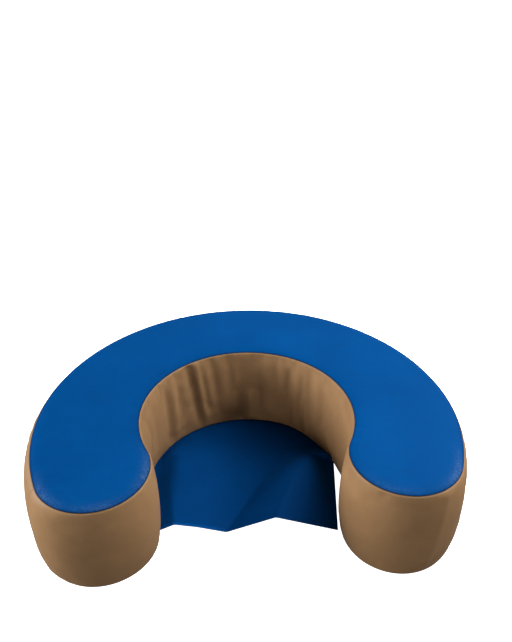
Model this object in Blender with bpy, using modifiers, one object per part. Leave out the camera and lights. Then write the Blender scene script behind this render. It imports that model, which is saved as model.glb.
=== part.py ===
"""Horseshoe floor support cushion for an infant: a vinyl-covered foam ring with an open front and a
seat mat sewn into its well.

Metres, +Z up.  The ring opens towards -Y and lies on z = 0, with the origin in the middle of its box.
The plan is made of five tangent arcs: the outer wall, the two round arm tips and the well's wall.
"""
import math

import bmesh
import bpy
from mathutils import Matrix

NAME = "horseshoe_support_cushion"

# driving dimensions of the ring
OUTER_RADIUS = 0.330                # outer wall
TIP_RADIUS = 0.0883                 # round end of each arm, so an arm is twice this wide
TIP_ANGLE = math.radians(-22.8)     # where the outer wall turns into a tip, seen from the outer centre
WELL_OFFSET = 0.0132                # the well's centre lies this far behind the outer centre
HEIGHT = 0.1575                     # floor to the middle of the top panel
SEAM_HEIGHT = 0.1532                # floor to the seam between the side strips and the top panel
SEAM_INSET = 0.0060                 # the top and bottom seams lie this far inside the walls
WALL_ROUND = 0.0200                 # height over which a wall curves in to each seam
WALL_ROUND_STEPS = 3
VINYL = 0.0010                      # thickness of the cover
GAP = 0.0003                        # left between pieces that touch
FOAM_INSET = 0.0030                 # from the cover's outer face to the foam's side
TOP_ROLL = 0.0040                   # radius of the top panel's rolled edge
FOAM_EDGE = 0.0140                  # radius of the foam's edges

# driving dimensions of the seat mat
FOLD_Y = 0.057                      # chord of the well where the sewn edge ends and the free part starts
MAT_BACK_WIDTH = 0.3040             # free part, at the chord
MAT_FRONT_Y = -0.0850               # front edge, left end and middle
MAT_FRONT_SLANT = 0.0040            # the right end lies this much further forward
MAT_LEFT_X = -0.1315
MAT_RIGHT_X = 0.1315
# the front edge as it lies: x along the edge and its height over the floor, between the two corners
MAT_LEFT_CORNER_RISE = 0.0160
MAT_LEFT_RIDGE = (-0.1150, 0.0320)
MAT_LEFT_SHOULDER = (-0.0930, 0.0285)
MAT_LEFT_SLOPE = (-0.0705, 0.0125)
MAT_VALLEY = (-0.0400, 0.0)
MAT_RIGHT_RIDGE = (0.0420, 0.0270)
MAT_RISE_POWER = 1.25               # how fast the waves grow from the chord to the front edge
MAT_CREASE_LEAN = 0.30              # how far the creases lean to the right towards the chord
MAT_PANEL_STEPS = 3                 # columns between two of the points above
MAT_ROWS = 8

# driving dimensions of the zip in the back of the outer wall
ZIP_HEIGHT = 0.034                  # middle of the chain
ZIP_HALF_ANGLE = math.radians(58)   # chain on each side of the middle of the back
ZIP_SLOT = 0.018                    # opening in the outer strip
ZIP_TAPE_LAP = 0.006                # tape behind the strip, above and below the opening
ZIP_TAPE = 0.0005                   # tape thickness
COIL_WIDTH = 0.0026                 # each half of the chain
COIL_THICKNESS = 0.0018
CHAIN_GAP = 0.0012                  # between the two halves, where the slider's post runs
SLIDER_LENGTH = 0.009
SLIDER_WIDTH = 0.009
SLIDER_PLATE = 0.0010
SLIDER_BACK_PLATE = 0.0006
SLIDER_FLANGE = 0.0009
SLIDER_POST = 0.0006
BRIDGE_WIDTH = 0.0018
BRIDGE_LENGTH = 0.0048
BRIDGE_BAR = 0.0010
BRIDGE_LEG = 0.0012
BRIDGE_ROOM = 0.0023                # under the bridge
PULL_LENGTH = 0.026
PULL_WIDTH = 0.0062
PULL_THICKNESS = 0.0012
PULL_EYE = (0.0030, 0.0026)         # along the pull and across it
STOP_LENGTH = 0.004
THREAD_RADIUS = 0.0003
STITCH_INSET = 0.0025               # topstitch, from the edge of the opening

# how finely the arcs are divided
OUTER_STEPS = 40
STRIP_STEPS = 2 * OUTER_STEPS       # the outer strip, which the zip lies close behind
TIP_STEPS = 16
WELL_STEPS = 28
ZIP_STEPS = 60
THREAD_STEPS = 44

TIP_X = (OUTER_RADIUS - TIP_RADIUS) * math.cos(TIP_ANGLE)
TIP_Y = (OUTER_RADIUS - TIP_RADIUS) * math.sin(TIP_ANGLE)
WELL_RADIUS = math.hypot(TIP_X, TIP_Y - WELL_OFFSET) - TIP_RADIUS
WELL_ANGLE = math.atan2(TIP_Y - WELL_OFFSET, TIP_X)


def arc(centre, radius, start, end, steps):
    """Points on an arc from one angle to another, both ends included."""
    angles = [start + (end - start) * i / steps for i in range(steps + 1)]
    return [(centre[0] + radius * math.cos(a), centre[1] + radius * math.sin(a)) for a in angles]


def outer_wall(inset=0.0, trim=0.0, steps=OUTER_STEPS):
    """The outer strip's path: the outer arc, anticlockwise, shortened by trim at each end."""
    start = TIP_ANGLE + trim / OUTER_RADIUS
    return arc((0, 0), OUTER_RADIUS - inset, start, math.pi - start, steps)


def well_wall(inset=0.0, trim=0.0):
    """The front strip's path: left tip, well, right tip, so that the material stays on the left."""
    cut = trim / TIP_RADIUS
    left = arc((-TIP_X, TIP_Y), TIP_RADIUS - inset, math.pi - TIP_ANGLE + cut,
               2 * math.pi - WELL_ANGLE, TIP_STEPS)
    well = arc((0, WELL_OFFSET), WELL_RADIUS + inset, math.pi - WELL_ANGLE, WELL_ANGLE, WELL_STEPS)
    right = arc((TIP_X, TIP_Y), TIP_RADIUS - inset, WELL_ANGLE - math.pi, TIP_ANGLE - cut, TIP_STEPS)
    return left + well[1:-1] + right


def ring_outline(inset=0.0):
    """The whole closed plan, anticlockwise."""
    return outer_wall(inset) + well_wall(inset)[1:-1]


def middle_of_box():
    """Y of the middle of the whole object's box, seen from the outer centre."""
    front = min(y for _, y in ring_outline())
    back = OUTER_RADIUS + GAP + 2 * THREAD_RADIUS       # the topstitch stands out furthest
    return (front + back) / 2


RING_Y = -middle_of_box()           # the outer centre, seen from the origin


def placed(points):
    return [(x, y + RING_Y) for x, y in points]


def material(name, colour, roughness, metallic=0.0):
    """A Principled material; the colour is linear RGB."""
    made = bpy.data.materials.new(name)
    made.use_nodes = True
    shader = made.node_tree.nodes["Principled BSDF"]
    shader.inputs["Base Color"].default_value = (*colour, 1.0)
    shader.inputs["Roughness"].default_value = roughness
    shader.inputs["Metallic"].default_value = metallic
    made.diffuse_color = (*colour, 1.0)
    return made


def add(name, data, look, collection):
    """Put a mesh or a curve into the collection as a named piece."""
    piece = bpy.data.objects.new(name, data)
    collection.objects.link(piece)
    data.materials.append(look)
    return piece


def flat_piece(name, outline, low, high, look, collection, edge=0.0):
    """A flat outline filled on both sides, from low to high, with its edges rounded by edge."""
    curve = bpy.data.curves.new(name, "CURVE")
    curve.dimensions = "2D"
    curve.fill_mode = "BOTH"
    curve.extrude = (high - low) / 2 - edge
    curve.bevel_depth = edge
    curve.bevel_resolution = 2
    curve.offset = -edge
    spline = curve.splines.new("POLY")
    spline.points.add(len(outline) - 1)
    for point, (x, y) in zip(spline.points, outline):
        point.co = (x, y, 0, 1)
    spline.use_cyclic_u = True
    piece = add(name, curve, look, collection)
    piece.location.z = (low + high) / 2
    return piece


def shell(piece, thickness):
    """Thicken an open surface behind its faces."""
    solid = piece.modifiers.new("thickness", "SOLIDIFY")
    solid.thickness = thickness
    solid.offset = -1
    solid.use_even_offset = True


def grid_surface(name, rows, look, collection, skip=None):
    """An open surface through rows of points; skip(row, column) leaves a face out."""
    mesh = bmesh.new()
    verts = [[mesh.verts.new(point) for point in row] for row in rows]
    for r in range(len(rows) - 1):
        for c in range(len(rows[0]) - 1):
            if skip and skip(r, c):
                continue
            mesh.faces.new((verts[r][c], verts[r][c + 1], verts[r + 1][c + 1], verts[r + 1][c]))
    loose = [v for v in mesh.verts if not v.link_faces]
    bmesh.ops.delete(mesh, geom=loose, context="VERTS")
    data = bpy.data.meshes.new(name)
    mesh.to_mesh(data)
    mesh.free()
    data.shade_smooth()
    data.set_sharp_from_angle(angle=math.radians(40))
    return add(name, data, look, collection)


def wall_levels(slot=()):
    """Heights and insets up a wall: it curves in to the base, stands upright, and curves in to the seam."""
    low = VINYL + GAP
    high = SEAM_HEIGHT - GAP
    curve = []
    for i in range(WALL_ROUND_STEPS + 1):
        angle = math.pi / 2 * i / WALL_ROUND_STEPS
        curve.append((WALL_ROUND * (1 - math.cos(angle)), SEAM_INSET * (1 - math.sin(angle))))
    bottom = [(low + rise, inset) for rise, inset in curve]
    top = [(high - rise, inset) for rise, inset in reversed(curve)]
    return bottom + [(z, 0.0) for z in slot] + top


def strip(name, route, levels, look, collection, skip=None):
    """A side strip: route(inset) gives its path in plan, which it follows up through the levels."""
    rows = [[(x, y, z) for x, y in placed(route(inset))] for z, inset in levels]
    piece = grid_surface(name, rows, look, collection, skip)
    shell(piece, VINYL)
    return piece


def top_panel(look, collection):
    """The blue panel: a flat sheet whose edge rolls down to the seam."""
    mesh = bmesh.new()
    verts = [mesh.verts.new((x, y, HEIGHT)) for x, y in placed(ring_outline(SEAM_INSET))]
    mesh.faces.new(verts)
    rim = bmesh.ops.extrude_edge_only(mesh, edges=mesh.edges[:])
    lowered = [item for item in rim["geom"] if isinstance(item, bmesh.types.BMVert)]
    for vert in lowered:
        vert.co.z = SEAM_HEIGHT
    bmesh.ops.recalc_face_normals(mesh, faces=mesh.faces[:])
    if max(mesh.faces, key=lambda face: len(face.verts)).normal.z < 0:
        bmesh.ops.reverse_faces(mesh, faces=mesh.faces[:])
    data = bpy.data.meshes.new("top_panel")
    mesh.to_mesh(data)
    mesh.free()
    data.shade_smooth()
    piece = add("top_panel", data, look, collection)
    roll = piece.modifiers.new("rolled_edge", "BEVEL")
    roll.width = TOP_ROLL
    roll.segments = 2
    roll.limit_method = "ANGLE"
    roll.angle_limit = math.radians(60)
    shell(piece, VINYL)
    return piece


def side_strips(looks, collection):
    """The outer strip, with the opening for the zip, and the strip round the tips and the well."""
    slot = (ZIP_HEIGHT - ZIP_SLOT / 2, ZIP_HEIGHT + ZIP_SLOT / 2)
    step = (math.pi - 2 * TIP_ANGLE) / STRIP_STEPS
    slot_columns = round(zip_slot_angle() / step)

    def in_slot(row, column):
        return row == WALL_ROUND_STEPS + 1 and -slot_columns <= column - STRIP_STEPS // 2 < slot_columns

    strip("outer_strip", lambda inset: outer_wall(inset, GAP / 2, STRIP_STEPS), wall_levels(slot),
          looks["tan"], collection, in_slot)
    strip("inner_strip", lambda inset: well_wall(inset, GAP / 2), wall_levels(), looks["tan"], collection)


def zip_slot_angle():
    """Half the angle of the opening: a whole number of the outer strip's steps past the stops."""
    step = (math.pi - 2 * TIP_ANGLE) / STRIP_STEPS
    past_stops = ZIP_HALF_ANGLE + (SLIDER_LENGTH / 2 + STOP_LENGTH + 3 * GAP) / OUTER_RADIUS
    return math.ceil(past_stops / step) * step


def curved_bar(name, inner, outer, low, high, half_angle, look, collection, middle=math.pi / 2):
    """A bar of rectangular section that follows a circle round the outer centre."""
    steps = max(2, round(ZIP_STEPS * half_angle / ZIP_HALF_ANGLE))
    outside = arc((0, 0), outer, middle - half_angle, middle + half_angle, steps)
    inside = arc((0, 0), inner, middle + half_angle, middle - half_angle, steps)
    return flat_piece(name, placed(outside + inside), low, high, look, collection)


def zip_chain(looks, collection):
    """Two tapes and the two halves of the chain that they carry."""
    tape_outer = OUTER_RADIUS - VINYL - GAP
    coil_inner = tape_outer + GAP
    half = CHAIN_GAP / 2
    tape_reach = ZIP_SLOT / 2 + ZIP_TAPE_LAP
    slot = zip_slot_angle()
    chain = ZIP_HALF_ANGLE + (SLIDER_LENGTH / 2 + GAP) / OUTER_RADIUS
    for side, sign in (("upper", 1), ("lower", -1)):
        tape = sorted((ZIP_HEIGHT + sign * half, ZIP_HEIGHT + sign * tape_reach))
        coil = sorted((ZIP_HEIGHT + sign * half, ZIP_HEIGHT + sign * (half + COIL_WIDTH)))
        curved_bar(f"zip_tape_{side}", tape_outer - ZIP_TAPE, tape_outer, *tape, slot,
                   looks["tape"], collection)
        curved_bar(f"zip_coil_{side}", coil_inner, coil_inner + COIL_THICKNESS, *coil, chain,
                   looks["coil"], collection)
    stop_half = STOP_LENGTH / 2 / OUTER_RADIUS
    for place, sign in (("left", 1), ("right", -1)):
        middle = math.pi / 2 + sign * (chain + stop_half + GAP / OUTER_RADIUS)
        curved_bar(f"zip_stop_{place}", coil_inner, coil_inner + COIL_THICKNESS + GAP,
                   ZIP_HEIGHT - SLIDER_WIDTH / 2, ZIP_HEIGHT + SLIDER_WIDTH / 2, stop_half,
                   looks["metal"], collection, middle)


def topstitch(name, height, look, collection):
    """The thread of one row of stitches along the zip, as one plain line on the strip."""
    radius = OUTER_RADIUS + GAP + THREAD_RADIUS
    slot = zip_slot_angle()
    curve = bpy.data.curves.new(name, "CURVE")
    curve.dimensions = "3D"
    curve.bevel_depth = THREAD_RADIUS
    curve.bevel_resolution = 1
    curve.use_fill_caps = True
    path = placed(arc((0, 0), radius, math.pi / 2 - slot, math.pi / 2 + slot, THREAD_STEPS))
    spline = curve.splines.new("POLY")
    spline.points.add(len(path) - 1)
    for point, (x, y) in zip(spline.points, path):
        point.co = (x, y, height, 1)
    add(name, curve, look, collection)


def slider_section():
    """Section across the slider: radial distance from the outer centre and height over the chain."""
    wide = SLIDER_WIDTH / 2
    post = SLIDER_POST / 2
    tape_inner = OUTER_RADIUS - VINYL - GAP - ZIP_TAPE
    coil_outer = OUTER_RADIUS - VINYL + COIL_THICKNESS
    front = coil_outer + GAP
    back = tape_inner - GAP
    toe = OUTER_RADIUS - VINYL + GAP / 3
    half = [(back - SLIDER_BACK_PLATE, wide), (back, wide), (back, post), (front, post),
            (front, wide - SLIDER_FLANGE), (toe, wide - SLIDER_FLANGE), (toe, wide),
            (front + SLIDER_PLATE, wide)]
    return half + [(radius, -height) for radius, height in reversed(half)]


def block(name, size, location, look, collection):
    """A box of the given size about its location, with its size applied."""
    mesh = bmesh.new()
    bmesh.ops.create_cube(mesh, size=1.0)
    bmesh.ops.scale(mesh, vec=size, verts=mesh.verts[:])
    data = bpy.data.meshes.new(name)
    mesh.to_mesh(data)
    mesh.free()
    piece = add(name, data, look, collection)
    piece.location = location
    return piece


def cut(piece, cutter, operation="DIFFERENCE"):
    """Cut the piece with a cutter, or join a helper to it, and hide the helper."""
    change = piece.modifiers.new(cutter.name, "BOOLEAN")
    change.operation = operation
    change.solver = "EXACT"
    change.object = cutter
    cutter.hide_render = True
    cutter.display_type = "WIRE"


def zip_slider(looks, collection, helpers):
    """The slider and its pull, both turning round vertical axes.

    The slider's origin is on the outer centre's axis, the pull's on the bridge's axis.  Both are
    built at the middle of the back, where X runs along the zip, and then swung to the left end.
    """
    front = OUTER_RADIUS - VINYL + COIL_THICKNESS + GAP + SLIDER_PLATE
    pivot = front + BRIDGE_ROOM / 2

    section = slider_section()
    mesh = bmesh.new()
    near = [mesh.verts.new((-SLIDER_LENGTH / 2, radius, height)) for radius, height in section]
    face = mesh.faces.new(near)
    far = bmesh.ops.extrude_face_region(mesh, geom=[face])["geom"]
    moved = [item for item in far if isinstance(item, bmesh.types.BMVert)]
    bmesh.ops.translate(mesh, vec=(SLIDER_LENGTH, 0, 0), verts=moved)
    bmesh.ops.recalc_face_normals(mesh, faces=mesh.faces[:])
    data = bpy.data.meshes.new("zip_slider")
    mesh.to_mesh(data)
    mesh.free()
    slider = add("zip_slider", data, looks["metal"], collection)

    sunk = SLIDER_PLATE / 2
    bridge_high = BRIDGE_ROOM + BRIDGE_BAR + sunk
    bridge = block("slider_bridge", (BRIDGE_LENGTH, bridge_high, BRIDGE_WIDTH),
                   (0, front - sunk + bridge_high / 2, 0), looks["metal"], helpers)
    room = block("bridge_room", (BRIDGE_LENGTH - 2 * BRIDGE_LEG, BRIDGE_ROOM, 2 * BRIDGE_WIDTH),
                 (0, front + BRIDGE_ROOM / 2, 0), looks["metal"], helpers)
    cut(slider, bridge, "UNION")
    cut(slider, room)

    eye_long, eye_wide = PULL_EYE
    bar = PULL_THICKNESS / 2
    pull = block("zip_pull", (PULL_LENGTH, PULL_THICKNESS, PULL_WIDTH), (0, 0, 0), looks["metal"],
                 collection)
    pull.data.transform(Matrix.Translation((PULL_LENGTH / 2 - bar, 0, 0)))
    eye = block("pull_eye", (eye_long, 3 * PULL_THICKNESS, eye_wide), (0, 0, 0), looks["metal"], helpers)
    eye.data.transform(Matrix.Translation((bar + eye_long / 2, 0, 0)))
    cut(pull, eye)

    hub = bpy.data.objects.new("zip_travel_axis", None)
    collection.objects.link(hub)
    hub.location = (0, RING_Y, ZIP_HEIGHT)
    hub.rotation_euler.z = ZIP_HALF_ANGLE
    pull_axis = bpy.data.objects.new("pull_axis", None)
    collection.objects.link(pull_axis)
    pull_axis.location = (0, pivot, 0)
    pull_axis.parent = hub
    for piece, parent in ((slider, hub), (bridge, hub), (room, hub), (pull, pull_axis), (eye, pull_axis)):
        piece.parent = parent


def mat_rear(look, collection):
    """The sewn part of the mat: the well's floor behind the chord."""
    half_step = (math.pi - 2 * WELL_ANGLE) / WELL_STEPS / 2
    radius = (WELL_RADIUS + SEAM_INSET) * math.cos(half_step) - GAP     # clear of the base's flats
    chord = FOLD_Y + GAP / 2
    start = math.asin((chord - WELL_OFFSET) / radius)
    edge = arc((0, WELL_OFFSET), radius, start, math.pi - start, WELL_STEPS)
    flat_piece("seat_mat_rear", placed(edge), 0.0, VINYL, look, collection)


def mat_front_edge():
    """Points along the free front edge: plan position and rise, with columns between the creases."""
    left = (MAT_LEFT_X, MAT_LEFT_CORNER_RISE)
    right = (MAT_RIGHT_X, 0.0)
    knots = [left, MAT_LEFT_RIDGE, MAT_LEFT_SHOULDER, MAT_LEFT_SLOPE, MAT_VALLEY, MAT_RIGHT_RIDGE, right]
    points = []
    for (x0, z0), (x1, z1) in zip(knots, knots[1:]):
        for i in range(MAT_PANEL_STEPS):
            share = i / MAT_PANEL_STEPS
            points.append((x0 + (x1 - x0) * share, z0 + (z1 - z0) * share))
    return points + [right]


def mat_front(look, collection):
    """The free part of the mat, from the chord to the front edge, rising into its creases.

    Its origin is on the chord, level with the mat's upper face: the axis it folds up about.
    """
    edge = mat_front_edge()
    width = MAT_RIGHT_X - MAT_LEFT_X
    slack = GAP / 2
    rows = []
    for r in range(MAT_ROWS + 1):
        along = r / MAT_ROWS
        row = []
        for x, rise in edge:
            across = (x - MAT_LEFT_X) / width
            bulge = across * (1 - across) * (1 - along)
            back_x = MAT_BACK_WIDTH * (across - 0.5) + MAT_CREASE_LEAN * MAT_BACK_WIDTH * bulge
            front_y = MAT_FRONT_Y - FOLD_Y - MAT_FRONT_SLANT * across
            row.append((back_x + (x - back_x) * along,
                        -slack + (front_y + slack) * along,
                        GAP * along + rise * along ** MAT_RISE_POWER))
        rows.append(row)
    piece = grid_surface("seat_mat_front", rows[::-1], look, collection)
    shell(piece, VINYL)
    piece.location = (0, FOLD_Y + RING_Y, VINYL)


def build():
    for old in list(bpy.data.objects):
        bpy.data.objects.remove(old, do_unlink=True)
    collection = bpy.data.collections.new(NAME)
    helpers = bpy.data.collections.new(NAME + "_cutters")
    bpy.context.scene.collection.children.link(collection)
    bpy.context.scene.collection.children.link(helpers)
    looks = {
        "foam": material("polyurethane_foam", (0.78, 0.70, 0.45), 0.95),
        "blue": material("blue_vinyl", (0.004, 0.080, 0.330), 0.45),
        "tan": material("tan_vinyl", (0.240, 0.140, 0.070), 0.50),
        "navy": material("navy_vinyl", (0.002, 0.030, 0.130), 0.50),
        "base": material("base_vinyl", (0.030, 0.030, 0.035), 0.60),
        "tape": material("zip_tape", (0.200, 0.120, 0.060), 0.80),
        "coil": material("nylon_coil", (0.180, 0.110, 0.055), 0.45),
        "thread": material("sewing_thread", (0.260, 0.160, 0.085), 0.70),
        "metal": material("zinc_alloy", (0.450, 0.430, 0.400), 0.30, 1.0),
    }
    flat_piece("foam_core", placed(ring_outline(FOAM_INSET)), VINYL + GAP, HEIGHT - VINYL - GAP,
               looks["foam"], collection, FOAM_EDGE)
    flat_piece("base_panel", placed(ring_outline(SEAM_INSET)), 0.0, VINYL, looks["base"], collection)
    top_panel(looks["blue"], collection)
    side_strips(looks, collection)
    mat_rear(looks["navy"], collection)
    mat_front(looks["navy"], collection)
    zip_chain(looks, collection)
    for name, sign in (("zip_topstitch_upper", 1), ("zip_topstitch_lower", -1)):
        topstitch(name, ZIP_HEIGHT + sign * (ZIP_SLOT / 2 + STITCH_INSET), looks["thread"], collection)
    zip_slider(looks, collection, helpers)


build()
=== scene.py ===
"""Visual model of a horseshoe floor support cushion: vinyl panels sewn round a foam ring, a seat mat in
its well and a zip in its low back.  Metres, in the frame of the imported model.

The cover starts as grids of points over the ring's plan.  A cloth simulation puffs them, and each part
keeps a share of that.  They are resampled finely, and then they get their seams, folds and puckers.
"""

import math

import bmesh
import bpy
import numpy as np
from mathutils import Matrix, Vector


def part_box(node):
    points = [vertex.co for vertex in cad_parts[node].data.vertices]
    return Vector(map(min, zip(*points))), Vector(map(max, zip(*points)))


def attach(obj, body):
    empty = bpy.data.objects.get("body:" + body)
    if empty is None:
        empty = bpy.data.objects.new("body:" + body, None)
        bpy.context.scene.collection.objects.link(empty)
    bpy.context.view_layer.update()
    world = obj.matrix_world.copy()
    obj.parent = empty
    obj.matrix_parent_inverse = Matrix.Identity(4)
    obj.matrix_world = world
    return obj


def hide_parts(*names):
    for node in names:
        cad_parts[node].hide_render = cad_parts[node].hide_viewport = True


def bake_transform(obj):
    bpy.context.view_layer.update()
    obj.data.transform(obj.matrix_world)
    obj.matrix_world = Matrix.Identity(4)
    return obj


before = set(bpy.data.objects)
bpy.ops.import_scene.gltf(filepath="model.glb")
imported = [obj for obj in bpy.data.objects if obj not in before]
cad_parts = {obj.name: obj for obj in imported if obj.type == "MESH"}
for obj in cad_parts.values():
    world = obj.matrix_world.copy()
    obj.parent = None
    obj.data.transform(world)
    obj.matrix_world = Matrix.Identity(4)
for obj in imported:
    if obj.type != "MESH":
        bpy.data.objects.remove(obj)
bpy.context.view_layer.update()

# the ring's plan
OUTER_RADIUS = 0.330
TIP_RADIUS = 0.0883
TIP_ANGLE = math.radians(-22.8)
WELL_OFFSET = 0.0132                # how far the well's centre lies behind the outer wall's
SEAM_INSET = 0.0060                 # how far in from the plan the seams lie
SEAM_HEIGHT = 0.1532
VINYL = 0.0010
RING_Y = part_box("outer_strip")[1].y - OUTER_RADIUS
TIP_X = (OUTER_RADIUS - TIP_RADIUS) * math.cos(TIP_ANGLE)
TIP_Y = (OUTER_RADIUS - TIP_RADIUS) * math.sin(TIP_ANGLE)
WELL_RADIUS = math.hypot(TIP_X, TIP_Y - WELL_OFFSET) - TIP_RADIUS
WELL_ANGLE = math.atan2(TIP_Y - WELL_OFFSET, TIP_X)
SEAM_TO_CENTRE = TIP_RADIUS - SEAM_INSET
WALL_TALL = SEAM_HEIGHT - VINYL

# how far the walls stand out past the seams, halfway up
BULGE_BACK = 0.0073
BULGE_RIGHT = 0.0098
BULGE_LEFT = 0.0146
BULGE_TIP = 0.0060
BULGE_WELL = 0.0050
BULGE_RIGHT_NECK = 0.0085           # where the right tip turns into the well
GENTLE = 0.95                       # how gently a wall leaves its seams, where it bulges least
ROUND = 0.60                        # and where it bulges most
LEFT_TUCK = -0.0036                 # the bottom seam lies this far out from the top seam: at the left tip,
RIGHT_TUCK = 0.0056                 # at the right tip
WELL_TUCK = 0.0084                  # and on the right side of the well
TOP_ROLL_HEIGHT = 0.0032
TOP_ROLL_WIDTH = 0.0080
TOP_CROWN = 0.0012

# the cloth simulation
START_SHARE = 0.62                  # share of its bulge that a wall has before the simulation
SIM_FRAMES = 20
SIM_CAP = 0.45                      # the most that a point of a wall moves, as a share of its bulge
TOP_CAP = 0.0016                    # and the most that a point of the top moves
WELL_SIM_FADE = 14                  # cells over which the well's share fades to the tips'
# how much of the simulated unevenness each part of the cover keeps
SIM_SHARES = {"outer": 0.25, "left": 0.12, "well": 0.40, "right": 0.14, "top": 0.25}
CLOTH = {
    "quality": 6, "mass": 0.35, "tension_stiffness": 10, "compression_stiffness": 10,
    "shear_stiffness": 5, "bending_stiffness": 1.0, "vertex_group_mass": "pinned",
    "shrink_min": -0.03,            # the vinyl is this much larger than the shape it starts from
    "use_pressure": True, "uniform_pressure_force": 4.0,
}

# grids: cells along the outer arc and the well, round a tip, up a wall and across the ring
ARC_CELLS = 120
TIP_CELLS = 40
WALL_CELLS = 16
CROSS_CELLS = 16
FINER = 2                           # finished panels have this many cells for each one along a strip
TIP_BLEND = 16                      # cells over which the ring's middle line bends to a tip's centre

# seams
GROOVE_DEPTH = 0.0015
GROOVE_WIDTH = 0.0010
EDGE_FADE = 0.004                   # over this distance a panel's relief dies out towards its seams
SEAM_ROWS = (0.0, 0.0004, 0.0008, 0.0013, 0.0020, 0.0032, 0.0050, 0.0078)
TOP_SEAM_SHADE = 0.0006             # half width of the shade on the walls' top seam
WALL_SEAM_SHADE = 0.0010            # on their other seams
PLATE_SEAM_SHADE = 0.0026           # and on the top and base panels
# cleaner vinyl beside a wall's seam narrows its shade: how much, how far from the seam, and half width
TOP_LIP = {"outer": 0.35, "left": 0.35, "well": 1.00, "right": 0.35}
TOP_LIP_PLACE = 0.0016
TOP_LIP_WIDTH = 0.0008
JOIN_LIP = 0.35
JOIN_LIP_PLACE = 0.0023
JOIN_LIP_WIDTH = 0.0009
LEFT_JOIN = 0.25                    # how deep and dark the upright joins are beside the other seams
# beside the right join the inner strip is also pulled in
RIGHT_PULL_PLACE = 0.0068           # how far from the join
RIGHT_PULL = 1.3                    # depth and width, against those of a groove
RIGHT_PULL_SPREAD = 2.8
RIGHT_PULL_ENDS = 0.3               # share of the depth at the top and bottom seams
RIGHT_PULL_SHADE = 0.35             # strength and half width of its shade
RIGHT_PULL_SHADE_WIDTH = 0.0022

# the zip
ZIP_HEIGHT = 0.034
ZIP_HALF_ANGLE = math.radians(58)
ZIP_SLOT = 0.018
TOOTH_PITCH = 0.0015
TAPE_RADIUS = OUTER_RADIUS - VINYL - 0.0003
SLOT_HALF_ANGLE = math.asin(min(1.0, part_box("zip_tape_upper")[1].x / TAPE_RADIUS))


def smooth(values, low, high):
    """Rises from 0 at low to 1 at high without a corner."""
    share = np.clip((np.asarray(values, float) - low) / (high - low), 0, 1)
    return share * share * (3 - 2 * share)


def ripple(places, waves, seed):
    """A smooth irregular line between about -1 and 1: sine waves of the given lengths."""
    rng = np.random.default_rng(seed)
    total = 0
    for wave in waves:
        total = total + rng.uniform(0.6, 1.0) * np.sin(2 * math.pi * (places / wave + rng.uniform()))
    return total / len(waves)


def bell(distance, width):
    """1 at no distance, and nearly 0 from twice the width on."""
    return np.exp(-(distance / width) ** 2)


# ---------------------------------------------------------------- grids of points

def arc(centre, radius, start, end, steps, facing=1.0):
    """Stations on an arc: points in plan and the directions that face away from the foam."""
    angles = np.linspace(start, end, steps + 1)
    away = np.column_stack([np.cos(angles), np.sin(angles)])
    return np.array(centre) + radius * away, facing * away


def stations(inset):
    """The four arcs of the plan, anticlockwise round the foam."""
    tip = TIP_RADIUS - inset
    return {
        "outer": arc((0, RING_Y), OUTER_RADIUS - inset, TIP_ANGLE, math.pi - TIP_ANGLE, ARC_CELLS),
        "left": arc((-TIP_X, TIP_Y + RING_Y), tip, math.pi - TIP_ANGLE, 2 * math.pi - WELL_ANGLE, TIP_CELLS),
        "well": arc((0, WELL_OFFSET + RING_Y), WELL_RADIUS + inset, math.pi - WELL_ANGLE, WELL_ANGLE,
                    ARC_CELLS, -1.0),
        "right": arc((TIP_X, TIP_Y + RING_Y), tip, WELL_ANGLE - math.pi, TIP_ANGLE, TIP_CELLS),
    }


def bulges():
    """How far each station's wall stands out halfway up, and how far its bottom seam does."""
    outer = np.degrees(np.linspace(TIP_ANGLE, math.pi - TIP_ANGLE, ARC_CELLS + 1))
    round_tip = np.linspace(0, 1, TIP_CELLS + 1)
    left_side = smooth(outer, 146, 180)
    right_side = 1 - smooth(outer, -12, 34)
    bulge = {
        "outer": BULGE_BACK + (BULGE_LEFT - BULGE_BACK) * left_side + (BULGE_RIGHT - BULGE_BACK) * right_side,
        "left": BULGE_LEFT + (BULGE_TIP - BULGE_LEFT) * smooth(round_tip, 0, 0.40)
        + (BULGE_WELL - BULGE_TIP) * smooth(round_tip, 0.7, 1.0),
        "well": np.full(ARC_CELLS + 1, BULGE_WELL),
        "right": BULGE_WELL + (BULGE_RIGHT_NECK - BULGE_WELL) * smooth(round_tip, 0, 0.15)
        + (BULGE_TIP - BULGE_RIGHT_NECK) * smooth(round_tip, 0.25, 0.5)
        + (BULGE_RIGHT - BULGE_TIP) * smooth(round_tip, 0.6, 1.0),
    }
    front = np.sin(np.pi * round_tip) ** 2
    well = np.degrees(np.linspace(math.pi - WELL_ANGLE, WELL_ANGLE, ARC_CELLS + 1))
    tuck = {
        "outer": np.zeros(ARC_CELLS + 1),
        "left": LEFT_TUCK * front,
        "well": WELL_TUCK * (1 - smooth(well, 30, 66)) * smooth(well, -12, 12),
        "right": RIGHT_TUCK * front,
    }
    return bulge, tuck


def fullness(height, ease):
    """The outline of a wall: 0 at both seams and 1 halfway, and rounder with a lower ease."""
    return (1 - np.abs(2 * height - 1) ** 2.2) ** ease


def wall_grid(side, bulge, tuck, share):
    """Points up a wall, from the bottom seam to the top seam, for each station."""
    points, away = side
    up = np.linspace(0, 1, WALL_CELLS + 1)
    ease = GENTLE + (ROUND - GENTLE) * smooth(bulge, BULGE_TIP, BULGE_LEFT)
    out = share * bulge[:, None] * fullness(up, ease[:, None]) + tuck[:, None] * (1 - up) ** 2
    plan = points[:, None, :] + away[:, None, :] * out[..., None]
    height = np.broadcast_to(VINYL + (SEAM_HEIGHT - VINYL) * up, out.shape)
    return np.dstack([plan, height])


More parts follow.
